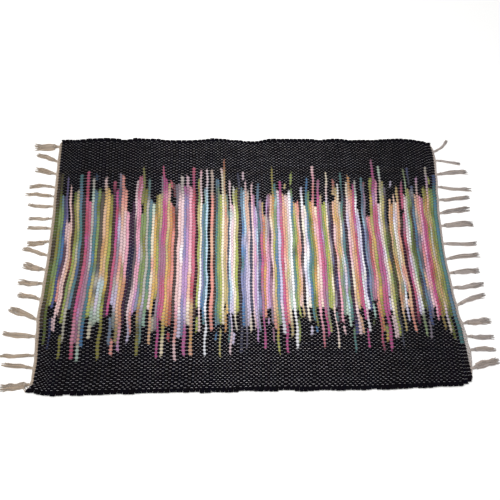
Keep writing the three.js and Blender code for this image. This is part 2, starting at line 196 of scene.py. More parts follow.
# One rag strip at a time, from left to right: its place in picks, then, in millimetres across the rug,
# where its colours begin at the far end, and each colour with the place where it gives way to the next.
# Black rag goes on to both selvedges. A strip that needs a second line goes on there after two spaces.
RAG_CHART = """
0.55 205 umber 110 moss 40 umber -20 moss -105 umber -170
1.8 205 umber 150 moss 110 sage 60 olive -20 sage -60 olive -115 moss -205
2.6 145 steel 112 sage 60 teal -25 sage -60 lime -122
3.5 145 slate 95 indigo 40 blue -20 indigo -125 black -150 ink -215
4.4 195 indigo 80 shell 30 plum -60 salmon -110 black -150 blush -178
5.2 78 shell -140 blush -178
5.95 172 shell 55 peach -60 shell -142
6.65 125 umber -10 rust -35 maroon -60 umber -150
7.55 155 moss 120 olive 20 lime -50 sage -105 lime -160 black -185 olive -235
8.4 158 stone 148 khaki 60 sage 20 stone -20 khaki -90 heather -125 stone -200
9.4 205 teal 180 steel 100 teal 20 steel -20 indigo -60 teal -90 steel -127
10.3 150 charcoal 60 umber -30 charcoal -150
11.45 212 rose 165 crimson 145 rose 110 crimson 50 fuchsia 10 crimson -5 rose -100 fuchsia -130 rose
  -155 pink -205 rose -235
12.4 130 rose 40 mauve -130 lilac -155 mauve -205
13.1 192 stone 165 mint 130 stone 20 lavender -20 stone -45 mauve -150 stone -185 salmon -205 mint -240
14.1 205 ink 185 black 160 steel 60 teal 0 blue -20 teal -45 blue -75 teal -118 indigo -130 teal -160
  blue -212
15.1 165 sage 135 moss 95 sage 15 lime -15 olive -30 teal -52 khaki -85 gold -115 lime -146
16.3 155 umber -30 slate -53 stone -80 slate -100 khaki -125 mint -160 cream -192
17.4 195 blush 165 gold 120 peach 40 amber -10 gold -45 amber -60 sky -100 lavender -135 mint -162
18.45 165 gold -10 peach -45 amber -60 sky -78 mint -158
19.45 147 olive 60 lime -45 gold -92 moss -118 lime -150 olive -235
20.5 187 rose 165 plum 90 umber -100 plum -150
21.55 160 fuchsia 120 crimson 90 fuchsia 20 rose -120 fuchsia -143
22.4 205 heather 165 slate 112 rust 92 lavender 30 heather -20 mauve -60 stone -92 lavender -120 black
  -148 steel -208
23.5 198 salmon 120 peach 60 blush 0 salmon -45 peach -75 lavender -130 teal -172 black -195 salmon -228
24.45 165 salmon 105 blush -22 olive -60 gold -100 peach -165 olive -202
25.55 105 pink -55 amber -165 pink -195 lilac -222
26.5 100 plum 20 ink -60 plum -165
27.45 130 plum 20 ink -60 charcoal -145
28.3 187 blush 90 charcoal -85 blush -165 lavender -205
28.95 197 rose 140 pink -60 blush -130 salmon -185
29.7 197 rose 175 pink 90 rose 60 pink 20 lavender -20 pink -85 lilac -140
30.4 225 olive 125 black 98 sage 20 stone -20 sage -70 steel -90 periwinkle -132
31.4 165 olive 100 sage 40 olive 0 sage -100 khaki -128 rust -145 khaki -165 umber -190 olive -230
32.4 190 teal 150 slate 135 stone -100 lavender -125 heather -158 teal -205
33.3 137 steel 110 teal -90 sage -140 mint -167
34.45 125 mint 98 cream -10 salmon -45 cream -80 blush -133
35.35 150 moss 98 amber 75 gold -40 peach -62 gold -133 peach -208
36.15 150 khaki 110 gold 92 olive 30 lime -48 gold -90 olive -107 black -148 stone -178
37.0 200 heather 150 khaki 60 mauve -110 heather -178
37.8 228 rose 195 fuchsia 155 pink 140 fuchsia 20 mauve -60 rose -120 fuchsia -235
38.6 190 fuchsia 155 pink 130 rose 20 mauve -60 rose -155
39.5 180 khaki 160 pink 135 khaki 110 peach 60 khaki -20 gold -170 lime -192 cream -230
40.45 185 rose 165 black 128 pink 117 amber -60 salmon -110 amber -168
41.3 180 plum 145 black 118 rust 60 salmon -100 rust -165 black -185 crimson -200
42.45 175 heather 115 umber -158
43.3 178 heather 150 blush 115 shell -120 pink -150 salmon -205 blush -240
44.45 200 stone 150 blush 20 white -20 blush -100 shell -128 white -145 lavender -195
45.4 170 fuchsia 152 periwinkle -20 lilac -100 periwinkle -168 steel -190
46.2 200 blush 170 fuchsia 158 mauve 140 periwinkle 118 mauve 60 lilac -130 lavender -165 fuchsia -230
47.3 168 pink 0 blush -45 peach -110 cream -165
48.5 222 rose 200 fuchsia 165 crimson 130 rose -60 crimson -114 khaki -145 peach -185 gold -210 peach
  -232
49.5 150 maroon -115 umber -150
50.3 190 lime 170 amber 155 sage 125 khaki 60 lime -30 khaki -60 lime -126 black -150 lime -182
51.0 217 pink 200 blush 125 cream -20 white -125 blush -180
51.7 125 teal 112 steel -10 periwinkle -100 blue -128
52.4 165 steel 150 mint 128 teal -60 steel -110 blue -150 teal -163
53.05 218 blush 165 sky -110 white -235
53.85 150 black -150
54.95 215 stone 150 salmon 60 peach -20 salmon -178
55.85 150 umber -150
56.45 190 steel 165 moss 155 slate 100 teal -150 steel -172 black -185 blue -202
57.2 190 blue 168 sage 155 heather 147 sage -25 lime -45 sage -150 steel -165
57.9 148 lime -165 black -175 khaki -235
58.65 220 blush 200 cream -165
59.5 245 rust 210 khaki 190 peach 150 khaki 115 salmon 85 peach 0 khaki -120 black -135 khaki -150 amber
  -180
60.1 150 teal 90 peach -60 khaki -120 gold -142
60.65 105 teal 88 slate -60 steel -137 black -145 indigo -165 teal -205
61.3 185 blush 110 mint 92 white -20 sky -110 lavender -172 blush -232
62.0 122 pink 105 mint 90 blush -60 white -100 lavender -143 black -185 lavender -210
62.65 170 white 155 lime 120 cream -150 stone -178
63.55 165 olive 118 lime 80 khaki 35 lime -130 olive -142
64.5 210 slate 165 charcoal 20 umber -60 charcoal -170 slate -225
65.6 170 teal 158 steel 80 blue 35 lavender 22 cobalt -5 teal -45 periwinkle -110 blue -172
66.25 212 blush 190 black 160 sky 45 lavender 20 blue -12 periwinkle -120 heather -175 plum -217
67.05 187 blush 165 peach 50 heather 22 lavender -170
67.6 160 stone 145 peach 60 blush 15 stone -20 lavender -150 cream -180
68.45 130 slate -135
69.2 180 blush 150 pink 120 blush -176
69.9 148 mauve 115 lilac 60 lavender 20 pink -20 lilac -130 lavender -160 lilac -202
70.5 115 lavender 85 lilac 62 sky -5 lilac -20 stone -40 lavender -135 heather -170 steel -180
71.3 178 steel 115 slate 90 teal 55 slate -25 periwinkle -48 slate -100 periwinkle -135 slate -150
72.2 135 heather 50 rose 0 fuchsia -32 rose -70 mauve -150 fuchsia -218
73.0 130 khaki 98 salmon 75 rust 60 amber 0 rose -30 gold -50 amber -130 salmon -150
73.8 92 khaki 78 stone 20 blush 0 pink -125 lavender -132 black -155 lilac -168
74.4 148 heather 135 lilac 95 stone 75 heather 35 pink -20 lilac -130
75.0 150 mauve 120 plum 85 heather 60 plum 20 mauve -20 plum -60 mauve -130 heather -165 black -175
  mauve -205
75.9 150 peach 90 cream 60 blush -35 peach -62 blush -100 peach -150 salmon -178
76.6 225 olive 165 sage 150 amber 100 khaki 40 lime -10 khaki -55 lime -80 khaki -110 peach -135 khaki
  -170 gold -190 lime -228
77.35 178 teal 150 steel 140 mint 120 sage 60 steel -5 blue -95 steel -120 teal -140 sage -165
78.5 162 blush 140 lavender 120 lilac 70 lavender -120 blush -145 lavender -160 white -188
79.4 185 fuchsia 130 mauve 90 rose -22 crimson -45 rose -100 fuchsia -135 rose -180 fuchsia -228
80.3 150 peach 110 salmon 95 peach 70 salmon -15 blush -45 khaki -55 peach -85 salmon -165
81.1 180 khaki 165 black 148 blush 120 peach 60 khaki 40 peach -40 lime -58 stone -110 cream -160 khaki
  -195
81.75 146 blush 50 stone 20 mint -20 cream -60 stone -90 mint -135
82.55 160 white -218
83.4 208 lime 178 black 165 sage 140 blue 98 teal 55 sage 10 slate -5 teal -65 steel -92 sage -135 black
  -155 moss -165 lime -202
84.2 128 salmon 120 khaki 95 lime 60 sage 45 lime 20 moss -12 lime -90 khaki -105 lime -150
84.8 125 salmon 118 peach 60 amber 20 salmon -5 gold -40 peach -60 gold -92 peach -115 blush -130
85.45 135 crimson 126 salmon 90 blush 40 salmon 10 rust -5 salmon -40 blush -60 peach -100 blush -122
  khaki -150
86.2 130 umber 90 charcoal 55 umber 32 charcoal 12 slate -8 umber -30 heather -50 umber -108 black -125
  charcoal -160
87.2 168 lavender 150 white 110 blush 90 cream 30 blush 0 white -40 lavender -75 white -125 cream -160
  black -170 lavender -188
88.1 120 cream 90 lavender 70 white 50 lavender 20 white -20 sky -75 lavender -105 cream -128
88.9 195 blue 158 teal 100 steel 60 teal 25 steel -20 teal -70 blue -110 teal -160 black -172 blue -185
89.6 158 sage 95 moss 60 sage 10 teal -40 sage -95 moss -150 olive -172
90.4 130 amber 110 gold 90 olive 70 amber 60 olive -35 amber -62 gold -95 olive -128
91.2 228 blush 205 pink 178 salmon 160 rose 132 peach 98 salmon 75 blush 45 gold -5 peach -30 cream -70
  peach -105 pink -185 rose -218
92.1 118 cream 92 salmon 72 pink -40 blush -65 cream -85 pink -112 cream -130
93.05 188 mauve 160 fuchsia 122 rose 100 fuchsia 70 rose 60 fuchsia 20 rose -45 fuchsia -80 mauve -138
  rose -155 fuchsia -190
93.85 150 khaki 130 mauve 70 heather 55 lilac 30 mauve -10 fuchsia -50 mauve -75 rose -88 heather -145
  sage -165 lime -185
94.6 122 lime 100 sage 60 khaki 50 sage 20 lime -10 sage -60 lime -132
95.25 128 lime 90 gold 65 lime -5 gold -22 lime -45 gold -60 lime -135
95.95 210 cream 175 blush 140 lavender 125 cream 60 peach 20 cream 0 stone -20 lime -55 cream -95 lime
  -125 blush -205 cream -220
96.65 125 heather 95 slate 60 charcoal 40 heather 0 charcoal -12 periwinkle -25 charcoal -65 plum -100
  heather -130 black -140 teal -160
97.45 125 umber 85 plum 20 umber -10 maroon -30 plum -60 indigo -85 plum -140 maroon -165
98.35 192 rust 168 khaki 148 black 130 peach 95 gold 72 blush 20 salmon -10 blush -25 khaki -40 pink
  -165 black -172 blush -190
99.2 170 khaki 148 peach 120 gold 75 peach 15 khaki -10 amber -22 sage -65 steel -80 sage -105 teal -148
99.9 178 white 148 cream 130 peach 95 amber 20 gold -8 mint -40 steel -60 teal -110 mint -145
100.6 128 stone 80 cream 40 stone 10 blush -8 sky -28 blush -48 lavender -75 white -82 lilac -98 sky
  -135 mint -172
101.35 207 teal 165 slate 128 teal 105 sage 75 periwinkle 62 steel 25 teal -15 steel -85 sage -120 teal
  -160 black -175 sage -190 teal -226
102.35 140 plum 125 umber 95 plum 60 charcoal -12 plum -60 charcoal -95 plum -165 indigo -190
103.35 185 cream 140 blush 100 lavender 60 blush 30 pink -15 blush -40 cream -90 peach -120 blush -190
104.2 202 amber 165 peach 140 salmon 128 blush 90 peach 30 blush 10 peach -45 amber -80 gold -110 khaki
  -135 black -150 peach -188
104.95 165 amber 150 salmon 110 rust 95 salmon 70 peach 55 salmon 20 amber -8 peach -30 salmon -60 amber
  -80 rose -130
105.75 178 fuchsia 150 rose 95 fuchsia 72 lilac 55 crimson 30 rose -5 fuchsia -58 rose -118 fuchsia -160
  black -180 fuchsia -218
106.55 188 stone 165 mint 140 white 98 lilac 72 lavender 30 blush 10 lilac -48 mint -65 white -118 mint
  -132 pink -155 white -182
107.25 112 stone 98 lavender 60 white 40 lavender 0 white -50 cream -65 lavender -110 white -135
108.05 70 ink -60 indigo -75 ink -110 indigo -135 black -160 moss -166
108.95 195 teal 178 steel 140 slate 120 steel 85 sky 62 periwinkle 30 steel -10 periwinkle -30 steel -60
  periwinkle -88 teal -115 black -122 mint -152
109.75 182 rust 172 steel 155 mauve 138 heather 60 slate 30 heather 10 periwinkle -5 heather -80 mauve
  -115
110.45 92 pink 78 rose 50 crimson 20 rust -25 rose -70 pink -85 mauve -112 black -120 salmon -140 rose
  -165 amber -178 rose -212 plum -228
111.25 90 salmon 65 peach 55 salmon 32 khaki 5 salmon -30 peach -65 pink -80 peach -100 salmon -130
  amber -182
112.05 195 lime 175 olive 150 gold 130 olive 95 khaki 40 gold 12 khaki -10 lime -35 olive -50 gold -65
  olive -80 gold -105 olive -150 black -170 sage -190 gold -206
113.2 245 mauve 225 fuchsia 200 mauve 185 fuchsia 160 lilac 120 rose 60 crimson 45 mauve 0 fuchsia -45
  mauve -80 rose -118 fuchsia -225
114.1 185 pink 150 blush 125 rose 45 lilac 30 fuchsia -5 mauve -30 fuchsia -105 rose -118 fuchsia -150
114.85 125 blush 100 lavender 78 white 50 blush 12 lilac -10 blush -38 lilac -55 blush -78 lilac -95
  stone -104 black -110 lavender -140 black -150 blush -200
115.55 228 mint 200 lavender 188 khaki 160 white 150 lime 128 cream 85 khaki 72 blush 58 cream 10 white
  -25 cream -80 khaki -104 cream -150 blush -200
116.35 185 khaki 165 mint 155 khaki 100 olive 75 khaki 45 sage -20 gold -45 sage -75 khaki -100 lime
  -125 khaki -150 lime -195
117.2 170 heather 150 charcoal 120 slate 68 heather 60 moss 15 umber 0 slate -18 umber -60 moss -118
  charcoal -160 slate -220
117.95 68 umber 45 moss 30 maroon 10 umber -30 moss -60 umber -110
118.65 140 peach 72 gold 58 peach 20 khaki -5 amber -35 peach -60 khaki -75 peach -102 rust -120 peach
  -145 khaki -182
119.4 185 lavender 170 black 125 amber 70 khaki 35 sage 12 khaki -20 amber -55 khaki -72 steel -85 sage
  -98 rust -112 stone -132
120.2 150 peach 125 stone 100 lavender 80 white 30 cream 0 stone -25 mint -45 blush -75 sky -100 white
  -120 lavender -162
120.85 128 cream 115 blush 80 stone 55 cream 30 blush 5 cream -30 salmon -60 blush -80 crimson -95 black
  -112 peach -130
121.5 172 khaki 130 salmon 110 peach 75 khaki 68 salmon 30 peach 10 amber -8 khaki -32 salmon -55 peach
  -85 khaki -100 peach -140 salmon -186
122.55 160 wine 110 black 90 umber 60 wine -160
123.4 188 mauve 168 rose 112 black 100 rose 80 mauve 50 crimson 15 plum -2 rust -18 mauve -45 fuchsia
  -70 rose -118 mauve -135 crimson -148 plum -168
124.35 145 blush 95 pink 85 sky 72 blush 40 white 20 pink -8 lavender -35 pink -55 blush -100 salmon
  -108 lavender -145
125.05 222 moss 200 sage 182 mint 170 lime 140 stone 105 mint 60 white 20 lime 5 stone -40 mint -60
  cream -100 white -142 moss -165 sage -195
125.8 165 khaki 150 sage 115 olive 78 sage 50 moss -10 sage -62 moss -85 khaki -102 umber -118 moss -132
126.5 225 indigo 200 slate 178 black 162 heather 140 sage 118 umber 90 charcoal 75 umber 30 moss -45
  charcoal -75 slate -100 umber -118 sage -130 plum -140 black -158 heather -200
127.35 175 indigo 160 stone 148 slate 118 steel 72 blue 50 teal 35 indigo 10 teal -22 steel -50 teal -65
  indigo -92 steel -112 teal -122 indigo -170
128.35 148 peach 105 stone 85 heather 72 peach 48 indigo 30 heather 5 slate -48 peach -90 steel -105
  periwinkle -135 slate -155
129.25 198 lilac 180 stone 158 blush 148 salmon 95 khaki 75 pink 62 amber 45 lavender 30 rose 0 salmon
  -30 pink -48 lilac -58 pink -90 blush -128
130.0 148 pink 70 lilac 60 pink -5 lilac -28 pink -75 gold -85 fuchsia -108 pink -158
130.7 140 mauve 118 rose 100 fuchsia 85 crimson 72 fuchsia -5 plum -15 rose -45 crimson -72 fuchsia -112
  crimson -142 rose -150
131.45 168 lime 140 olive 125 khaki 92 rose -40 rust -62 rose -75 khaki -90 olive -118 rust -135 olive
  -178
132.15 165 olive 140 amber 100 khaki 75 olive 40 khaki 25 amber 0 khaki -25 amber -45 olive -70 khaki
  -110 olive -150
132.9 225 stone 200 lilac 178 blush 150 peach 105 olive 92 khaki 75 salmon 60 mint 42 stone -12 peach
  -35 khaki -80 amber -105 khaki -125 blush -142 lavender -165 cream -188
133.6 195 lime 178 black 168 lime 135 olive 100 khaki 70 olive 10 khaki -10 olive -25 khaki -60 olive
  -95 khaki -130 moss -205
134.35 168 sage 110 moss 90 sage 20 olive -5 sage -45 olive -75 sage -100 olive -120 moss -152
135.3 205 indigo 178 teal 130 blue 118 teal 60 blue 48 teal -20 steel -38 teal -92 indigo -105 steel
  -155 teal -212
"""

# Sections, anticlockwise from the right: a rag strip's, as shares of its half width and half height, and
# two of yarns, as shares of their radius.
RAG_SECTION = np.array([(0.97, 0.45), (0, 1), (-0.97, 0.45), (-0.97, -0.45), (0, -1), (0.97, -0.45)])
THREE_SIDED = np.array([(0.87, -0.5), (0, 1), (-0.87, -0.5)])
FOUR_SIDED = np.array([(1, 0), (0, 1), (-1, 0), (0, -1)])

# Bends of the picks, in picks: at the far and the near selvedge, beside the left end, at its near corner.
FAR_BOW, NEAR_BOW, LEFT_BOW, CORNER_BOW = -0.5, -0.85, -0.75, -1.9

# Where they bend: how many millimetres from the middle line of the rug a bend begins and over how many it
# grows, and, for the two at the left, the pick where it is greatest and its reach in picks.
BOW_STRETCH = (140, 90)
CORNER_STRETCH = (284, 18)
LEFT_BOW_PICKS = (6.8, 6)
CORNER_PICKS = (0, 2.5)

# Picks beside each end that lie straighter and straighter towards it.
STRAIGHT_PICKS = 6

# The slow wander of the picks, in two waves: size in picks, width in millimetres across the rug, slant and
# length in picks along it, and start.
WANDERS = (
    (0.22, 37, 5.3, 9.1, 1),
    (0.14, 15, 2.1, 3.7, 0),
)

# How a strip's dyes run: over how many millimetres, how far each side that is worked out, and the share
# that isn't the strip's mean. Then how much darker its tails are, and how much greyer the whole strip is.
DYE_RUN = 11
DYE_WINDOW = 30
DYE_SHARE = 0.75
TAILS_DARKER = 0.3
GREYER = 0.08

# Where strips change towards the selvedges, as millimetres from the middle line and the stretch it takes:
# their dyes darken, they swell over the threads, and painted shade in their dips grows. Then where painted
# shade darkens the strips towards the ends of the rug, as strips from the middle one and the stretch it
# takes.
DARK_TAILS = (125, 45)
SWELL = (100, 45)
SHADED_DIPS = (118, 35)
SHADED_ENDS = (28, 25)

# The usual width of a rag strip, and its height at a warp thread as a share of its height between two.
RAG_WIDTH = 6.2 * MM
PINCH = 0.88

# Warp threads hidden in the roll of each selvedge, and the pieces that the others are made in.
HIDDEN_THREADS = 2
THREAD_GROUPS = 4

# Radii of the yarn in a tassel's neck and of the yarn wrapped round it, and the gap under the lowest yarn.
NECK_RADIUS = 0.8 * MM
WRAP_RADIUS = 1.0 * MM
FLOOR_GAP = 0.05 * MM

# The headings grow narrow over a short stretch up to this distance from the middle line of the rug.
HEADING_SIDE = 300 * MM
HEADING_TAPER = 30 * MM

UPWARDS = np.array([0.0, 0.0, 1.0])


def length(name, description, default):
    """A size that a user may change."""
    return FloatProperty(name=name, description=description, default=default, unit="LENGTH")


def amount(name, description, default, least):
    """A whole number that a user may change."""
    return IntProperty(name=name, description=description, default=default, min=least)


def colour(name, description, default):
    """A colour that a user may change."""
    return FloatVectorProperty(
        name=name, description=description, default=default, subtype="COLOR", size=3, min=0, max=1)


class WeaveSettings(bpy.types.PropertyGroup):
    """Sizes and colours of the woven cloth."""

    warp_threads: amount("Warp threads", "Cotton threads that run the length of the rug", 158, 8)
    bands: amount("Weft bands", "Pieces that the rag weft is made in", 12, 4)
    rag_height: length("Rag height", "Height of a rag strip between two warp threads", 3.6 * MM)
    rag_sway: length("Rag sway", "How far a warp thread lifts or lowers the rag that it crosses", 0.37 * MM)
    rag_middle: length("Rag middle", "Height of the middle of the cloth over the floor", 2.95 * MM)
    thread_radius: length("Thread radius", "Radius of a warp thread", 0.52 * MM)
    seed: amount("Seed", "Start of the random unevenness of the weave", 11, 0)
    cotton: colour("Undyed cotton", "Colour of the warp and the fringe", (0.35, 0.325, 0.31))


class FringeSettings(bpy.types.PropertyGroup):
    """Sizes of the headings, knots and tassels."""

    heading_picks: amount("Heading picks", "Fine cotton picks woven at each end before the tassels", 3, 2)
    heading_height: length("Heading height", "Height of the heading's middle over the floor", 1.7 * MM)
    knot_distance: length("Knot distance", "From the heading to the middle of a knot", 9.5 * MM)
    knot_radius: length("Knot radius", "Radius of the knot of a tassel 10 mm wide", 2.7 * MM)
    strand_radius: length("Strand radius", "Radius of a loose cotton strand", 1.0 * MM)
    strands_per_thread: amount("Strands for each thread", "Loose strands that a thread opens into", 2, 1)


class StageSettings(bpy.types.PropertyGroup):
    """Floor, light and camera."""

    floor_colour: colour("Floor colour", "Colour of the plain floor", (0.96, 0.96, 0.96))
    sky_strength: FloatProperty(
        name="Sky strength",
        description="Strength of the even light from all round",
        default=0.75,
        min=0,
    )
    lamp_power: FloatProperty(
        name="Lamp power",
        description="Power of the large soft lamp",
        default=41,
        min=0,
        subtype="POWER",
    )
    middle_share: FloatProperty(
        name="Middle light",
        description="Power of the lamp over the middle of the rug, as a share of the large one's",
        default=0.044,
        min=0,
    )


def eased(value, start=0, stretch=1):
    """A share that goes from 0 to 1 with a soft start and stop, while a value passes over a stretch."""
    share = np.clip((value - start) / stretch, 0, 1)
    return share * share * (3 - 2 * share)


def hump(value, middle, reach):
    """A smooth hump, 1 high in its middle."""
    return np.exp(-(((value - middle) / reach) ** 2))


def unit(directions):
    """Directions as arrows 1 long."""
    return directions / np.maximum(np.linalg.norm(directions, axis=-1, keepdims=True), 1e-9)


def along(table, at, column):
    """A column of a table at places along its first column, eased from row to row."""
    keys = table[:, 0]
    low = np.clip(np.searchsorted(keys, at) - 1, 0, len(keys) - 2)
    share = eased(at, keys[low], keys[low + 1] - keys[low])
    return table[low, column] * (1 - share) + table[low + 1, column] * share


def plan(along_share, across_share):
    """Places on the floor of points of the rag cloth, from shares of its length and of its width."""
    nominal = SELVEDGES[0, 0] * (1 - along_share) + SELVEDGES[-1, 0] * along_share
    near = along(SELVEDGES, nominal, NEAR)
    far = along(SELVEDGES, nominal, FAR)
    y = near * (1 - across_share) + far * across_share
    left = along(ENDS, y, RAGS_END[LEFT])
    right = along(ENDS, y, RAGS_END[RIGHT])
    return left * (1 - along_share) + right * along_share, y


def linear(screen_colour):
    """A screen colour from 0 to 255 as linear light."""
    share = np.asarray(screen_colour, float) / 255
    return np.where(share <= 0.04045, share / 12.92, ((share + 0.055) / 1.055) ** 2.4)


def smooth_noise(random, rows, places, spacing):
    """Rows of soft random values between -1 and 1, with a new value every few places."""
    knots = int(places / spacing) + 3
    values = random.uniform(-1, 1, (rows, knots))
    at = np.arange(places) / spacing + random.uniform(0, 1, (rows, 1))
    low = at.astype(int)
    share = eased(at - low)
    pick = np.arange(rows)[:, None]
    return values[pick, low] * (1 - share) + values[pick, low + 1] * share


def uneven(random, rows, places, share, spacing):
    """Rows of soft random factors that differ from 1 by a share at most."""
    return 1 + share * smooth_noise(random, rows, places, spacing)


def meshed(name, shape):
    """A mesh from a finished bmesh, which is then let go."""
    mesh = bpy.data.meshes.new(name)
    shape.to_mesh(mesh)
    shape.free()
    return mesh


def joined(name, parts):
    """One mesh from several, with their points in order."""
    shape = bmesh.new()
    for part in parts:
        shape.from_mesh(part)
    for part in set(parts):
        bpy.data.meshes.remove(part)
    return meshed(name, shape)


def tube_template(rings, sides):
    """A closed straight tube, with the ring and the side that each of its points is on."""
    shape = bmesh.new()
    bmesh.ops.create_cone(shape, cap_ends=True, segments=sides, radius1=1, radius2=1, depth=2)
    lengthways = [edge for edge in shape.edges if abs(edge.verts[0].co.z - edge.verts[1].co.z) > 1]
    bmesh.ops.subdivide_edges(shape, edges=lengthways, cuts=rings - 2)
    bmesh.ops.recalc_face_normals(shape, faces=shape.faces)
    places = np.array([point.co[:] for point in shape.verts])
    ring = np.rint((places[:, 2] + 1) / 2 * (rings - 1)).astype(int)
    turn = np.arctan2(places[:, 1], places[:, 0]) / (2 * math.pi) * sides
    first = turn[ring == 0].min()
    side = np.rint(turn - first).astype(int) % sides
    return meshed("tube_template", shape), ring, side


def tubes(name, places):
    """One mesh of closed tubes from their points, with the ring and the side of each point of a tube."""
    count, rings, sides, _ = places.shape
    template, ring, side = tube_template(rings, sides)
    mesh = joined(name, [template] * count)
    points = places[:, ring, side]
    points[..., 2] = np.maximum(points[..., 2], FLOOR_GAP)
    mesh.vertices.foreach_set("co", points.astype(np.float32).ravel())
    mesh.update()
    return mesh, ring, side


def paint(mesh, colours):
    """Gives each point of a mesh its colour: dye or undyed cotton, with any painted shade."""
    dye_and_shade = mesh.attributes.new("dye_and_shade", "FLOAT_COLOR", "POINT")
    flat = np.ones((len(mesh.vertices), 4), np.float32)
    flat[:, :3] = colours.reshape(-1, 3)
    dye_and_shade.data.foreach_set("color", flat.ravel())


def numbers_of(items, quality):
    """One whole number for each corner or face of a mesh."""
    values = np.empty(len(items), np.int32)
    items.foreach_get(quality, values)
    return values


def places_of(items, quality):
    """One place or direction for each point or face of a mesh."""
    values = np.empty(len(items) * 3, np.float32)
    items.foreach_get(quality, values)
    return values.reshape(-1, 3)


def corners_of(mesh):
    """The point and the face of each corner of a mesh."""
    corner_counts = numbers_of(mesh.polygons, "loop_total")
    return numbers_of(mesh.loops, "vertex_index"), np.repeat(np.arange(len(corner_counts)), corner_counts)


def inset(share, margin):
    """A share of the way over a patch of the map, kept off the patch's edges by a margin."""
    return margin + (1 - 2 * margin) * share


def set_map(mesh, across, up):
    """Gives each corner of a mesh its place on the map that finishes are baked on."""
    places = np.stack([across, up], -1).astype(np.float32)
    mesh.uv_layers.new(name=BAKE_MAP).data.foreach_set("uv", places.ravel())


def lay_out(mesh, ring, side, folds):
    """Lays the tubes' surfaces side by side on the piece's map: upper and under halves, each in folds."""
    tube_margin = 0.04
    fold_margin = 0.01
    sides = side.max() + 1
    half = sides / 2
    count = len(mesh.vertices) // len(ring)
    corner_point, face = corners_of(mesh)
    starts = numbers_of(mesh.polygons, "loop_start")
    tube = corner_point // len(ring)
    corner_ring = ring[corner_point % len(ring)].astype(float)
    corner_side = side[corner_point % len(ring)].astype(float)
    first_ring = np.minimum.reduceat(corner_ring, starts)[face]
    low_side = np.minimum.reduceat(corner_side, starts)[face]

    # The faces that close the round lie between a tube's last side and its first, which then counts as one
    # more than the last.
    closing = np.maximum.reduceat(corner_side, starts)[face] - low_side > 1.5
    corner_side[closing & (corner_side == 0)] = sides
    face_side = np.where(closing, sides - 1, low_side)

    under = (face_side >= half).astype(float)
    fold_rings = ring.max() / folds
    fold = np.minimum(np.floor(first_ring / fold_rings), folds - 1)
    across = (tube + inset((corner_side - under * half) / half, tube_margin)) / count
    lengthwise = (corner_ring - fold * fold_rings) / fold_rings
    across = (fold + inset(np.clip(across, 0, 1), fold_margin)) / folds
    set_map(mesh, across, (under + inset(np.clip(lengthwise, 0, 1), fold_margin)) / 2)


def spread_map(mesh):
    """Maps a fringe seen from above in one half and from below in the other, folded into four columns."""
    folds = 4
    corner_point, face = corners_of(mesh)
    places = places_of(mesh.vertices, "co")
    low = places.min(0)
    reach = (places.max(0) - low) * 1.02
    under = (places_of(mesh.polygons, "normal")[:, 2] < 0)[face]
    across = (places[corner_point, 0] - low[0]) / reach[0]
    lengthwise = (places[corner_point, 1] - low[1]) / reach[1] * folds
    fold = np.floor((places_of(mesh.polygons, "center")[:, 1] - low[1]) / reach[1] * folds)[face]
    overlap = 0.12
    within = np.clip(lengthwise - fold, -overlap, 1 + overlap) / (1 + 2 * overlap) + 0.1
    set_map(mesh, (fold + inset(across, 0.02)) / folds, (under + within) / 2)


def placed(mesh, name, material, slot, *nodes):
    """Puts a finished mesh in the scene as a piece that stands for CAD nodes."""
    mesh.shade_smooth()
    mesh.materials.append(material)
    piece = bpy.data.objects.new(name, mesh)
    bpy.context.scene.collection.objects.link(piece)
    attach(piece, "root")
    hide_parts(*nodes)
    return piece


def read_chart():
    """Rag strips from the chart: places in picks, and each strip's colours and where they change."""
    places = []
    strips = []
    for line in RAG_CHART.replace("\n  ", " ").strip().splitlines():
        place, first, *words = line.split()
        places.append(float(place))
        changes = [float(first)] + [float(word) for word in words[1::2]]
        strips.append((["black", *words[0::2], "black"], changes))
    return np.array(places), strips


class Weave:
    """The plan of the weave: where the edges between rag strips and the warp threads run."""

    def __init__(self, settings):
        places, self.strips = read_chart()
        self.threads = settings.warp_threads
        self.random = np.random.default_rng(settings.seed)
        edges = np.concatenate([[0], (places[1:] + places[:-1]) / 2, [CLOTH_PICKS]])
        across = np.linspace(0, 1, 2 * self.threads + 1)
        self.x, self.y = self.edge_lines(edges[:, None], across[None, :])

    def edge_lines(self, place, across):
        """Where the edges between strips run: they bend left towards the selvedges and wander a little."""
        y_mm = plan(place / CLOTH_PICKS, across)[1] / MM
        in_far_half = y_mm > 0
        clear = np.clip(place / STRAIGHT_PICKS, 0, 1)
        clear = clear * np.clip((CLOTH_PICKS - place) / STRAIGHT_PICKS, 0, 1)
        bow = np.where(in_far_half, FAR_BOW, NEAR_BOW) * eased(np.abs(y_mm), *BOW_STRETCH)
        beside_left = hump(place, *LEFT_BOW_PICKS) * np.minimum((y_mm / 150) ** 2, 1.2)
        left_bow = LEFT_BOW * beside_left * np.where(in_far_half, 1, 0.6)
        wander = sum(
            size * np.sin(y_mm / wide + place / slant) * np.sin(place / long + start)
            for size, wide, slant, long, start in WANDERS)
        shift = 0.08 - 0.2 * np.minimum((y_mm / 110) ** 2, 1.2)
        inner = (bow + left_bow + wander + shift) * clear
        jitter = 0.12 * smooth_noise(self.random, len(place), across.size, 10) * clear
        corner = CORNER_BOW * hump(place, *CORNER_PICKS) * eased(-y_mm, *CORNER_STRETCH)
        return plan((place + inner + jitter + corner) / CLOTH_PICKS, across)

    def cloth_end(self, side):
        """Where each warp thread leaves the rags at one end, and the x of the heading's outer edge."""
        last = 0 if side == LEFT else -1
        x = self.x[last, 1::2]
        y = self.y[last, 1::2]
        wide = along(ENDS, y, HEADING_END[side]) - along(ENDS, y, RAGS_END[side])
        return x, y, x + wide * (0.15 + 0.85 * eased((HEADING_SIDE - np.abs(y)) / HEADING_TAPER))


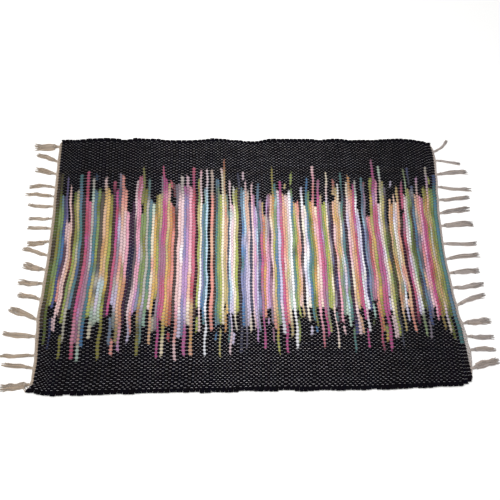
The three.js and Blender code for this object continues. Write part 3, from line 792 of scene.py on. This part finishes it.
def dye_run(strip, random):
    """A strip's colours at every millimetre across the rug, which run into each other inside its rags."""
    names, changes = strip
    dyes = np.array([linear(DYES[name]) for name in names])
    black = np.array([name == "black" for name in names])
    dyes[black] *= random.uniform(0.75, 1.3, 3)
    changes = np.array(changes) + random.uniform(-2, 2, len(changes))
    at = np.arange(DYE_REACH, -DYE_REACH - 1, -1)
    part = np.searchsorted(-changes, -at)
    run = dyes[part]
    coloured = ~black[part]
    blur = hump(np.arange(-DYE_WINDOW, DYE_WINDOW + 1), 0, DYE_RUN)
    weight = np.maximum(np.convolve(coloured, blur, "same"), 1e-9)
    soft = np.stack([np.convolve(run[:, one] * coloured, blur, "same") / weight for one in range(3)], 1)
    whole = run[coloured].mean(0)
    tails = 1 - TAILS_DARKER * eased(np.abs(at), *DARK_TAILS)[:, None]
    run[coloured] = (tails * (DYE_SHARE * soft + (1 - DYE_SHARE) * whole))[coloured]
    return run + GREYER * (run.mean(1, keepdims=True) - run)


def dyed(run, y_mm):
    """A strip's colours at places across the rug, in millimetres."""
    at = np.clip(DYE_REACH - y_mm, 0, 2 * DYE_REACH - 1)
    low = at.astype(int)
    share = (at - low)[..., None]
    return run[low] * (1 - share) + run[low + 1] * share


def rolled(random, y, middle, half_width, half_height):
    """Turns strips into one another in pairs at the selvedges, in an uneven roll outside the threads."""
    lump_size = 1.8 * MM
    count, rings = middle.shape
    strip = np.arange(count)[:, None]
    ring = np.arange(rings)[None, :]
    for end, from_side, outward in ((0, ring, -1), (1, rings - 1 - ring, 1)):
        pair = np.where((strip + end) % 2 == 0, 1, -1)
        turning = eased(1 - from_side / 3)
        lump = smooth_noise(random, 1, (count + end) // 2 + 1, 1.6)[0][(strip + end) // 2] * lump_size
        y = y + outward * lump * eased(1 - from_side / 6)
        middle = middle + pair * turning * half_width * 0.42
        half_width = half_width * (1 + 0.3 * turning)
        half_height = half_height * (1 - 0.34 * turning)
    return y, middle, half_width, half_height


def rag_points(weave, settings):
    """Points and colours of every rag strip, by strip, ring from the far selvedge, and side; the colours
    hold painted shade.
    """
    random = weave.random
    left, right = weave.x[:-1], weave.x[1:]
    y = (weave.y[:-1] + weave.y[1:]) / 2
    count, rings = left.shape
    strip = np.arange(count)[:, None]
    ring = np.arange(rings)[None, :]
    at_thread = ring % 2
    thread = ring // 2
    held = eased(np.minimum(ring, rings - 1 - ring), 3, 2)
    rise = np.where((strip + thread) % 2 == 0, -1, 1) * at_thread * held
    fat = uneven(random, count, rings, 0.06, 11)
    narrow = np.clip((right - left) / RAG_WIDTH, 0.7, 1.1)
    half_height = settings.rag_height / 2 * fat * np.where(at_thread, PINCH, 1) * (0.5 + 0.5 * narrow)
    level = settings.rag_middle + settings.rag_sway * rise
    half_width = (right - left) / 2
    middle = (left + right) / 2
    y, middle, half_width, half_height = rolled(random, y, middle, half_width, half_height)

    # Towards the selvedges a strip swells more over the threads, with painted shade where it dips under
    # them.
    y_mm = y / MM
    bulge = 0.23 + 0.27 * eased(np.abs(y_mm), *SWELL)
    dip_shade = 0.7 * eased(np.abs(y_mm), *SHADED_DIPS)
    # Painted shade: the strips darken towards both ends of the rug, where less light falls.
    dull = 1 - 0.1 * eased(np.abs(strip[:, 0] - count / 2), *SHADED_ENDS)
    slants = random.uniform(-5, 5, count)
    runs = [dye_run(strip_colours, random) for strip_colours in weave.strips]
    points = np.empty((count, rings, len(RAG_SECTION), 3))
    colours = np.empty_like(points)
    for side, (across, up) in enumerate(RAG_SECTION):
        crumple = uneven(random, count, rings, 0.05, 5)
        lift = rise * np.sign(up)
        spread = (1 + bulge * lift) * crumple
        points[:, :, side, 0] = middle + half_width * across * spread
        points[:, :, side, 1] = y
        points[:, :, side, 2] = level + half_height * up * crumple
        # Random patches of lighter and darker dye, then painted shade: a strip's sides darker than its
        # crest, most where it dips under a thread, and its dips darker still towards the selvedges.
        patches_and_shade = uneven(random, count, rings, 0.10, 13)
        patches_and_shade = patches_and_shade + 0.05 * smooth_noise(random, count, rings, 3)
        patches_and_shade = patches_and_shade * (1 if across == 0 else 0.92 + 0.08 * lift)
        patches_and_shade = patches_and_shade * (1 - dip_shade * np.maximum(-lift, 0))
        for pick in range(count):
            dye_and_shade = dyed(runs[pick], y_mm[pick] + slants[pick] * across)
            colours[pick, :, side] = dull[pick] * dye_and_shade * patches_and_shade[pick][:, None]
    return points[:, ::-1], colours[:, ::-1]


def thread_points(weave, settings, fringe):
    """Points of the warp threads, by thread, ring from the left heading, and side."""
    shown = np.arange(HIDDEN_THREADS, weave.threads - HIDDEN_THREADS)
    columns = 2 * shown + 1
    left = weave.x[:-1, columns]
    width = weave.x[1:, columns] - left
    y = (weave.y[:-1, columns] + weave.y[1:, columns]) / 2
    strip = np.arange(len(left))[:, None]
    lift = settings.rag_height / 2 * PINCH - settings.rag_sway + 0.42 * settings.thread_radius
    z = settings.rag_middle + np.where((strip + shown) % 2 == 0, lift, -lift)
    twice = [np.stack([left + share * width, y, z], -1) for share in (0.24, 0.76)]
    path = np.stack(twice, 1).reshape(-1, len(shown), 3)

    # In each heading the thread goes over and under the fine picks.
    steps = np.arange(fringe.heading_picks * 2)[:, None]
    share = (steps + 0.5) / len(steps)
    wave = np.where((steps // 2 + shown) % 2 == 0, 1, -1)
    heading_z = fringe.heading_height + wave * 0.75 * MM
    ends = []
    for side in (LEFT, RIGHT):
        rag_x, rag_y, edge_x = (line[shown] for line in weave.cloth_end(side))
        x = rag_x + (edge_x - rag_x) * share
        ends.append(np.stack([x, np.broadcast_to(rag_y, x.shape), heading_z], -1))
    path = np.concatenate([ends[0][::-1], path, ends[1]]).transpose(1, 0, 2)
    radius = settings.thread_radius * uneven(weave.random, *path.shape[:2], 0.12, 7)
    points = path[:, :, None, :].repeat(len(THREE_SIDED), 2)
    points[..., 1:] += radius[..., None, None] * THREE_SIDED
    return points


class Tassel:
    """One tassel's bowed centre line on the floor, by distance from its root."""

    def __init__(self, row, side):
        root_y, tip_x, tip_y, self.wide, self.bow = row
        self.root = np.array([along(ENDS, root_y, HEADING_END[side]), root_y])
        reach = np.array([tip_x, tip_y]) - self.root
        self.long = np.hypot(*reach)
        self.forward = reach / self.long
        self.across = np.array([-self.forward[1], self.forward[0]])

    def at(self, distance):
        """Places on the line, at an array of distances."""
        share = np.clip(distance / self.long, 0, 1)
        bow = self.bow * np.sin(math.pi * share)
        return self.root + self.forward * distance[..., None] + self.across * bow[..., None]


def swept(path, radius, section, up):
    """Points of yarns round their paths, by yarn, ring and side."""
    ahead = unit(np.gradient(path, axis=1))
    across = unit(np.cross(up, ahead))
    over = np.cross(ahead, across)
    spread = section[:, :1] * across[:, :, None] + section[:, 1:] * over[:, :, None]
    return path[:, :, None] + spread * np.broadcast_to(radius, path.shape[:2])[..., None, None]


def heading_picks(weave, fringe, side):
    """Paths of the fine picks of one heading, from the far selvedge to the near one, and their radii."""
    rag_x, rag_y, edge_x = weave.cloth_end(side)
    count = fringe.heading_picks
    pick = np.arange(count)[:, None]
    x = rag_x + (edge_x - rag_x) * ((pick + 0.5) / count)
    wave = np.where((pick + np.arange(weave.threads)) % 2 == 0, -1, 1)
    z = fringe.heading_height + wave * 0.3 * MM
    path = np.stack([x, np.broadcast_to(rag_y, x.shape), z], -1)
    return path[:, ::-1], np.clip(np.abs(edge_x - rag_x) / count / 2, 0.6 * MM, 1.3 * MM)


def neck_yarns(weave, fringe, tassels, side):
    """Paths of the warp threads from the heading into the knots, and the tassel that each belongs to."""
    rag_x, rag_y, edge_x = weave.cloth_end(side)
    roots = np.array([tassel.root[1] for tassel in tassels])
    owner = np.abs(rag_y[:, None] - roots[None, :]).argmin(1)

    # A thread slants towards its tassel in three places at the heading's edge, and has three in the neck.
    slanted = np.array([0, 0.45, 0.85])
    from_edge = np.array([-2.0, -0.9, 0.3]) * MM * side
    towards_knot = np.array([0.28, 0.62, 1.0])
    half_neck = 2.3 * MM
    paths = []
    for thread, index in enumerate(owner):
        tassel = tassels[index]
        offset = rag_y[thread] - roots[index]
        edge_y = rag_y[thread] - offset * slanted
        bulge = rag_x[thread] - along(ENDS, rag_y[thread], RAGS_END[side])
        edge = along(ENDS, edge_y, HEADING_END[side]) + bulge + from_edge
        edge[0] = edge_x[thread] + from_edge[0] / 2
        lane = np.clip(offset * 0.16, -half_neck, half_neck)
        gathered = tassel.at(towards_knot * fringe.knot_distance) + tassel.across * lane * -side
        flat = np.concatenate([np.stack([edge, edge_y], -1), gathered])
        rise = weave.random.uniform(-0.8, 1.3) * MM * eased(np.linspace(0, 1, len(flat)))
        paths.append(np.column_stack([flat, fringe.heading_height + rise]))
    return np.array(paths), owner


def knot_loops(fringe, tassels, random):
    """Paths of the yarn wrapped round each tassel's neck: three turns, the middle one the widest."""
    turn = np.linspace(0, 2 * math.pi, 13)
    pitch = 1.9 * MM
    slope = 1.6 * MM
    lowest = 0.9 * MM
    paths = []
    for tassel in tassels:
        size = fringe.knot_radius * math.sqrt(tassel.wide / (10 * MM))
        for step, girth in ((-1.15, 0.9), (-0.1, 1.12), (0.95, 0.9)):
            tilt = random.uniform(-0.5, 0.5)
            distance = fringe.knot_distance + step * pitch + tilt * np.cos(turn) * slope
            wide = size * girth
            flat = tassel.at(distance) + tassel.across * (wide * np.cos(turn))[:, None]
            level = 0.95 * size + 0.8 * wide * np.sin(turn)
            paths.append(np.column_stack([flat, np.maximum(level, lowest)]))
    return np.array(paths)


def loose_strands(fringe, tassels, counts, random):
    """Paths and radii of the loose strands that leave the knots and lie on the floor."""
    steps = 10
    share = np.linspace(0, 1, steps)
    start = fringe.knot_distance + 1.5 * MM
    paths = []
    radii = []
    for tassel, count in zip(tassels, counts):
        order = random.permutation(count)
        lumps = uneven(random, 1, steps, 0.22, 2)[0]
        drift = 1.1 * MM * smooth_noise(random, 1, steps, 2.5)[0]
        opened = (0.74 + 0.26 * eased(share * 2)) * lumps
        half = max(tassel.wide * 0.62 - fringe.strand_radius, 2.3 * MM)
        for strand in range(count):
            place = (order[strand] + 0.5) / count * 2 - 1
            long = tassel.long * (1.02 - 0.2 * random.uniform() ** 1.5)
            distance = start + (long - start) * share
            curl = 0.55 * MM * np.sin(random.uniform(0, 6.3) + share * random.uniform(7, 15)) * share ** 0.4
            stray = random.normal(0, 1.2 * MM) * share ** 2 + drift
            flat = tassel.at(distance) + tassel.across * (half * place * opened + curl + stray)[:, None]
            heap = math.sqrt(max(1 - place * place, 0)) * random.uniform()
            level = fringe.strand_radius + (heap * (3.6 - 1.6 * share) + 0.1) * MM
            level = level + 0.3 * MM * np.sin(random.uniform(0, 6.3) + share * 11) * share
            paths.append(np.column_stack([flat, np.maximum(level, fringe.strand_radius)]))
            radii.append(fringe.strand_radius * random.uniform(0.85, 1.2) * (1 - 0.45 * share ** 4))
    return np.array(paths), np.array(radii)


def cotton_tints(random, cotton, groups):
    """Undyed cotton colours for groups of yarns, a little different from yarn to yarn."""
    tints = []
    for count, points, shade in groups:
        light = random.uniform(0.82, 1.12, (count, 1, 1)) * shade
        warmth = random.uniform(-0.05, 0.05, (count, 1, 1))
        tint = np.array(cotton) * light * (1 + warmth * np.array([1, 0, -1.4]))
        tints.append(np.broadcast_to(tint, (count, points, 3)).reshape(-1, 3))
    return np.concatenate(tints)


def give(tree, place, value):
    """Links a value to the input of a node, or sets the input to a number or colour."""
    if isinstance(value, Value):
        tree.links.new(value.socket, place)
    else:
        place.default_value = value


class Value:
    """A shader socket that does maths: an expression on values adds the Math nodes that it needs."""

    def __init__(self, tree, socket):
        self.tree = tree
        self.socket = socket

    def math(self, operation, *others):
        node = self.tree.nodes.new("ShaderNodeMath")
        node.operation = operation
        for place, value in zip(node.inputs, (self, *others)):
            give(self.tree, place, value)
        return Value(self.tree, node.outputs[0])

    def __add__(self, other):
        return self.math("ADD", other)

    def __mul__(self, other):
        return self.math("MULTIPLY", other)

    def __sub__(self, other):
        return self.math("SUBTRACT", other)

    def __rsub__(self, other):
        return (self * -1).math("ADD", other)

    __radd__ = __add__
    __rmul__ = __mul__


class Finish:
    """A material with one main shader, and a method that adds any other node."""

    def __init__(self, name, **constants):
        self.material = bpy.data.materials.new(name)
        self.material.use_nodes = True
        self.tree = self.material.node_tree
        self.shader = self.tree.nodes["Principled BSDF"]
        for socket, value in constants.items():
            self.feed(socket.replace("_", " "), value)

    def node(self, kind, output, settings=None, **inputs):
        """Adds a node with its settings first and then the values or links of its sockets."""
        node = self.tree.nodes.new(kind)
        for setting, value in (settings or {}).items():
            setattr(node, setting, value)
        sockets = {socket.identifier.replace(" ", "_"): socket for socket in node.inputs}
        for place, value in inputs.items():
            give(self.tree, sockets[place], value)
        outputs = {socket.identifier: socket for socket in node.outputs}
        return Value(self.tree, outputs[output])

    def feed(self, socket, value):
        """Gives the main shader a value."""
        give(self.tree, self.shader.inputs[socket], value)

    def tinted(self, shade):
        """The colour of the piece, its dye with any painted shade, made lighter or darker by a shade."""
        dye_and_shade = self.node("ShaderNodeAttribute", "Color", {"attribute_name": "dye_and_shade"})
        grey = self.node("ShaderNodeCombineColor", "Color", Red=shade, Green=shade, Blue=shade)
        blend = {"data_type": "RGBA", "blend_type": "MULTIPLY"}
        return self.node(
            "ShaderNodeMix", "Result_Color", blend, Factor_Float=1.0, A_Color=dye_and_shade, B_Color=grey)


def torn_cotton():
    """Torn rag strips: dyed cotton with threads, creases and a soft nap."""
    finish = Finish("torn_cotton_rag", Sheen_Weight=0.015, Sheen_Roughness=0.5, Specular_IOR_Level=0.04)
    place = finish.node("ShaderNodeTexCoord", "Object")
    creases = finish.node(
        "ShaderNodeTexNoise", "Fac", Vector=place, Scale=330.0, Detail=3.0, Roughness=0.6, Distortion=0.8)
    threads, cross_threads = [
        finish.node(
            "ShaderNodeTexWave", "Fac", {"bands_direction": way}, Vector=place, Scale=330.0, Distortion=2.0,
            Detail=1.0)
        for way in ("Y", "X")
    ]
    finish.feed("Base Color", finish.tinted(0.8 + creases * 0.4))
    finish.feed("Roughness", 0.8 + creases * 0.18)
    relief = creases * 0.8 + threads * 0.1 + cross_threads * 0.1
    bump = finish.node("ShaderNodeBump", "Normal", Strength=0.7, Distance=0.9 * MM, Height=relief)
    finish.feed("Normal", bump)
    return finish.material


def undyed_cotton():
    """Spun cotton yarn: pale, dull and slightly hairy, with the slant of its ply."""
    finish = Finish("undyed_cotton_yarn", Sheen_Weight=0.1, Sheen_Roughness=0.6, Specular_IOR_Level=0.15)
    place = finish.node("ShaderNodeTexCoord", "Object")
    fibres = finish.node(
        "ShaderNodeTexNoise", "Fac", Vector=place, Scale=650.0, Detail=3.0, Roughness=0.65, Distortion=0.4)
    ply = finish.node(
        "ShaderNodeTexWave", "Fac", {"bands_direction": "DIAGONAL"}, Vector=place, Scale=260.0,
        Distortion=1.5, Detail=1.0)
    finish.feed("Base Color", finish.tinted(0.72 + fibres * 0.38 + ply * 0.18))
    finish.feed("Roughness", 0.82 + fibres * 0.15)
    bump = finish.node("ShaderNodeBump", "Normal", Strength=0.6, Distance=0.5 * MM, Height=fibres + ply)
    finish.feed("Normal", bump)
    return finish.material


class DHURRIE_OT_fringes(bpy.types.Operator):
    """Make the headings, knots and tassels of both ends"""

    bl_idname = "dhurrie.fringes"
    bl_label = "Fringes"

    def execute(self, context):
        settings = context.scene.dhurrie_weave
        fringe = context.scene.dhurrie_fringe
        weave = Weave(settings)
        material = undyed_cotton()
        ends = (
            ("fringe_left", LEFT_TASSELS, LEFT, LEFT_SHADE),
            ("fringe_right", RIGHT_TASSELS, RIGHT, RIGHT_SHADE),
        )
        for name, rows, side, shade in ends:
            random = np.random.default_rng(weave.threads + side)
            tassels = [Tassel(row, side) for row in rows]
            picks, pick_radius = heading_picks(weave, fringe, side)
            necks, owner = neck_yarns(weave, fringe, tassels, side)
            loops = knot_loops(fringe, tassels, random)
            outward = unit(loops - loops.mean(1, keepdims=True))
            counts = np.bincount(owner, minlength=len(tassels)) * fringe.strands_per_thread
            strands, strand_radius = loose_strands(fringe, tassels, counts, random)
            sets = (
                (picks, pick_radius, FOUR_SIDED, UPWARDS, 0.92),
                (necks, NECK_RADIUS, THREE_SIDED, UPWARDS, 1.0),
                (loops, WRAP_RADIUS, FOUR_SIDED, outward, 0.85),
                (strands, strand_radius, THREE_SIDED, UPWARDS, 0.95),
            )
            parts = []
            groups = []
            for path, radius, section, up, part_shade in sets:
                mesh, ring, _ = tubes(name, swept(path, radius, section, up))
                parts.append(mesh)
                groups.append((len(path), len(ring), part_shade * shade))
            mesh = joined(name + "_yarns", parts)
            paint(mesh, cotton_tints(random, settings.cotton, groups))
            spread_map(mesh)
            placed(mesh, name + "_yarns", material, "cotton_yarn", name)
        return {"FINISHED"}


class DHURRIE_OT_warp(bpy.types.Operator):
    """Make the cotton warp threads, which cross over and under the rag strips"""

    bl_idname = "dhurrie.warp"
    bl_label = "Warp"

    def execute(self, context):
        settings = context.scene.dhurrie_weave
        weave = Weave(settings)
        points = thread_points(weave, settings, context.scene.dhurrie_fringe)
        material = undyed_cotton()
        dash_points = 6
        for part, chosen in enumerate(np.array_split(points, THREAD_GROUPS), 1):
            name = f"warp_threads_{part}"
            mesh, ring, side = tubes(name, chosen)
            tints = cotton_tints(weave.random, settings.cotton, [(len(chosen), len(ring), WARP_SHADE)])
            dashes = weave.random.uniform(0.4, 1.6, len(tints) // dash_points + 1)
            dashes = dashes.repeat(dash_points)[:len(tints)]

            # The threads are paler towards the near selvedge, and painted shade darkens them towards both
            # ends.
            x, y, _ = chosen[:, ring, side].reshape(-1, 3).T
            paler_near = 1 - 0.75 * y
            dull = 1.22 - 0.6 * eased(np.abs(x), 60 * MM, 360 * MM)
            paint(mesh, tints * (dashes * paler_near * dull)[:, None])
            lay_out(mesh, ring, side, 1)
            placed(mesh, name, material, "cotton_yarn", "rag_cloth")
        return {"FINISHED"}


class DHURRIE_OT_weft(bpy.types.Operator):
    """Make the rag weft, one strip for each pick, in bands from left to right"""

    bl_idname = "dhurrie.weft"
    bl_label = "Rag weft"

    def execute(self, context):
        settings = context.scene.dhurrie_weave
        weave = Weave(settings)
        points, colours = rag_points(weave, settings)
        material = torn_cotton()
        bands = np.array_split(np.arange(len(points)), settings.bands)
        for band, rows in enumerate(bands, 1):
            name = f"rag_weft_{band:02d}"
            mesh, ring, side = tubes(name, points[rows])
            paint(mesh, colours[rows][:, ring, side])
            lay_out(mesh, ring, side, 4)
            piece = placed(mesh, name, material, "rag_weft", "rag_cloth")
        return {"FINISHED"}


class DHURRIE_OT_stage(bpy.types.Operator):
    """Lay the floor, hang the light and set the camera at the photograph's angle"""

    bl_idname = "dhurrie.stage"
    bl_label = "Stage"

    def execute(self, context):
        stage = context.scene.dhurrie_stage
        lay_floor(stage)
        hang_light(context.scene, stage)
        set_camera(context.scene)
        return {"FINISHED"}


def lay_floor(stage):
    """A matt pale floor under the rug."""
    shape = bmesh.new()
    bmesh.ops.create_grid(shape, x_segments=1, y_segments=1, size=4)
    mesh = meshed("floor", shape)
    pale = (*stage.floor_colour, 1)
    finish = Finish("pale_floor", Base_Color=pale, Roughness=0.9, Specular_IOR_Level=0.1)
    mesh.materials.append(finish.material)
    floor = bpy.data.objects.new("floor", mesh)
    bpy.context.scene.collection.objects.link(floor)


def hang_light(scene, stage):
    """Even light from all round, a large soft lamp from the left and a weak one over the middle."""
    world = bpy.data.worlds.new("studio")
    world.use_nodes = True
    background = world.node_tree.nodes["Background"]
    background.inputs["Color"].default_value = (1, 1, 1, 1)
    background.inputs["Strength"].default_value = stage.sky_strength
    scene.world = world
    # Each lamp's name, place and size, in metres, and its share of the power.
    lamps = (
        ("side_lamp", (-1.4, 0.3, 2.7), 1.6, 1.0),
        ("middle_lamp", (0.06, 0.0, 0.5), 0.45, stage.middle_share),
    )
    for name, place, size, share in lamps:
        lamp = bpy.data.lights.new(name, "AREA")
        lamp.energy = stage.lamp_power * share
        lamp.size = size
        lamp.color = (1.0, 0.985, 0.96)
        holder = bpy.data.objects.new(name, lamp)
        holder.location = place
        holder.rotation_euler = (-Vector(place)).to_track_quat("-Z", "Y").to_euler()
        scene.collection.objects.link(holder)
    scene.view_settings.view_transform = "Standard"


def set_camera(scene):
    """The camera of the photograph, in metres and radians, with its roll round the way to its aim."""
    image_pixels = 500
    focal_pixels = 640
    distance = 1.42385
    elevation = 1.11811
    azimuth = -0.11245
    roll = 0.09772
    aim = Vector((-0.00358, 0.00907, 0))
    back = Vector((
        math.sin(azimuth) * math.cos(elevation),
        -math.cos(azimuth) * math.cos(elevation),
        math.sin(elevation),
    ))
    right = (-back).cross(Vector((0, 0, 1))).normalized()
    up = right.cross(-back)
    rolled_right = right * math.cos(roll) + up * math.sin(roll)
    rolled_up = up * math.cos(roll) - right * math.sin(roll)
    lens = bpy.data.cameras.new("photograph_camera")
    lens.sensor_width = 36
    lens.lens = focal_pixels / image_pixels * lens.sensor_width
    camera = bpy.data.objects.new("photograph_camera", lens)
    turn = Matrix((rolled_right, rolled_up, back)).transposed().to_4x4()
    camera.matrix_world = Matrix.Translation(aim + back * distance) @ turn
    scene.collection.objects.link(camera)
    scene.camera = camera


class DHURRIE_PT_panel(bpy.types.Panel):
    """Buttons and settings of the rug"""

    bl_label = "Rag dhurrie"
    bl_space_type = "VIEW_3D"
    bl_region_type = "UI"
    bl_category = "Dhurrie"

    def draw(self, context):
        groups = (context.scene.dhurrie_weave, context.scene.dhurrie_fringe, context.scene.dhurrie_stage)
        for group in groups:
            for setting in group.bl_rna.properties:
                if not setting.is_readonly and setting.identifier != "name":
                    self.layout.prop(group, setting.identifier)
        for operator in OPERATORS:
            self.layout.operator(operator.bl_idname)


OPERATORS = (DHURRIE_OT_fringes, DHURRIE_OT_warp, DHURRIE_OT_weft, DHURRIE_OT_stage)
GROUPS = (
    ("dhurrie_weave", WeaveSettings),
    ("dhurrie_fringe", FringeSettings),
    ("dhurrie_stage", StageSettings),
)


def register():
    for place, group in GROUPS:
        bpy.utils.register_class(group)
        setattr(bpy.types.Scene, place, PointerProperty(type=group))
    for operator in OPERATORS:
        bpy.utils.register_class(operator)
    bpy.utils.register_class(DHURRIE_PT_panel)


def unregister():
    bpy.utils.unregister_class(DHURRIE_PT_panel)
    for operator in OPERATORS:
        bpy.utils.unregister_class(operator)
    for place, group in GROUPS:
        delattr(bpy.types.Scene, place)
        bpy.utils.unregister_class(group)


def main():
    register()
    bpy.ops.dhurrie.fringes()
    bpy.ops.dhurrie.warp()
    bpy.ops.dhurrie.weft()
    bpy.ops.dhurrie.stage()


if __name__ == "__main__":
    main()
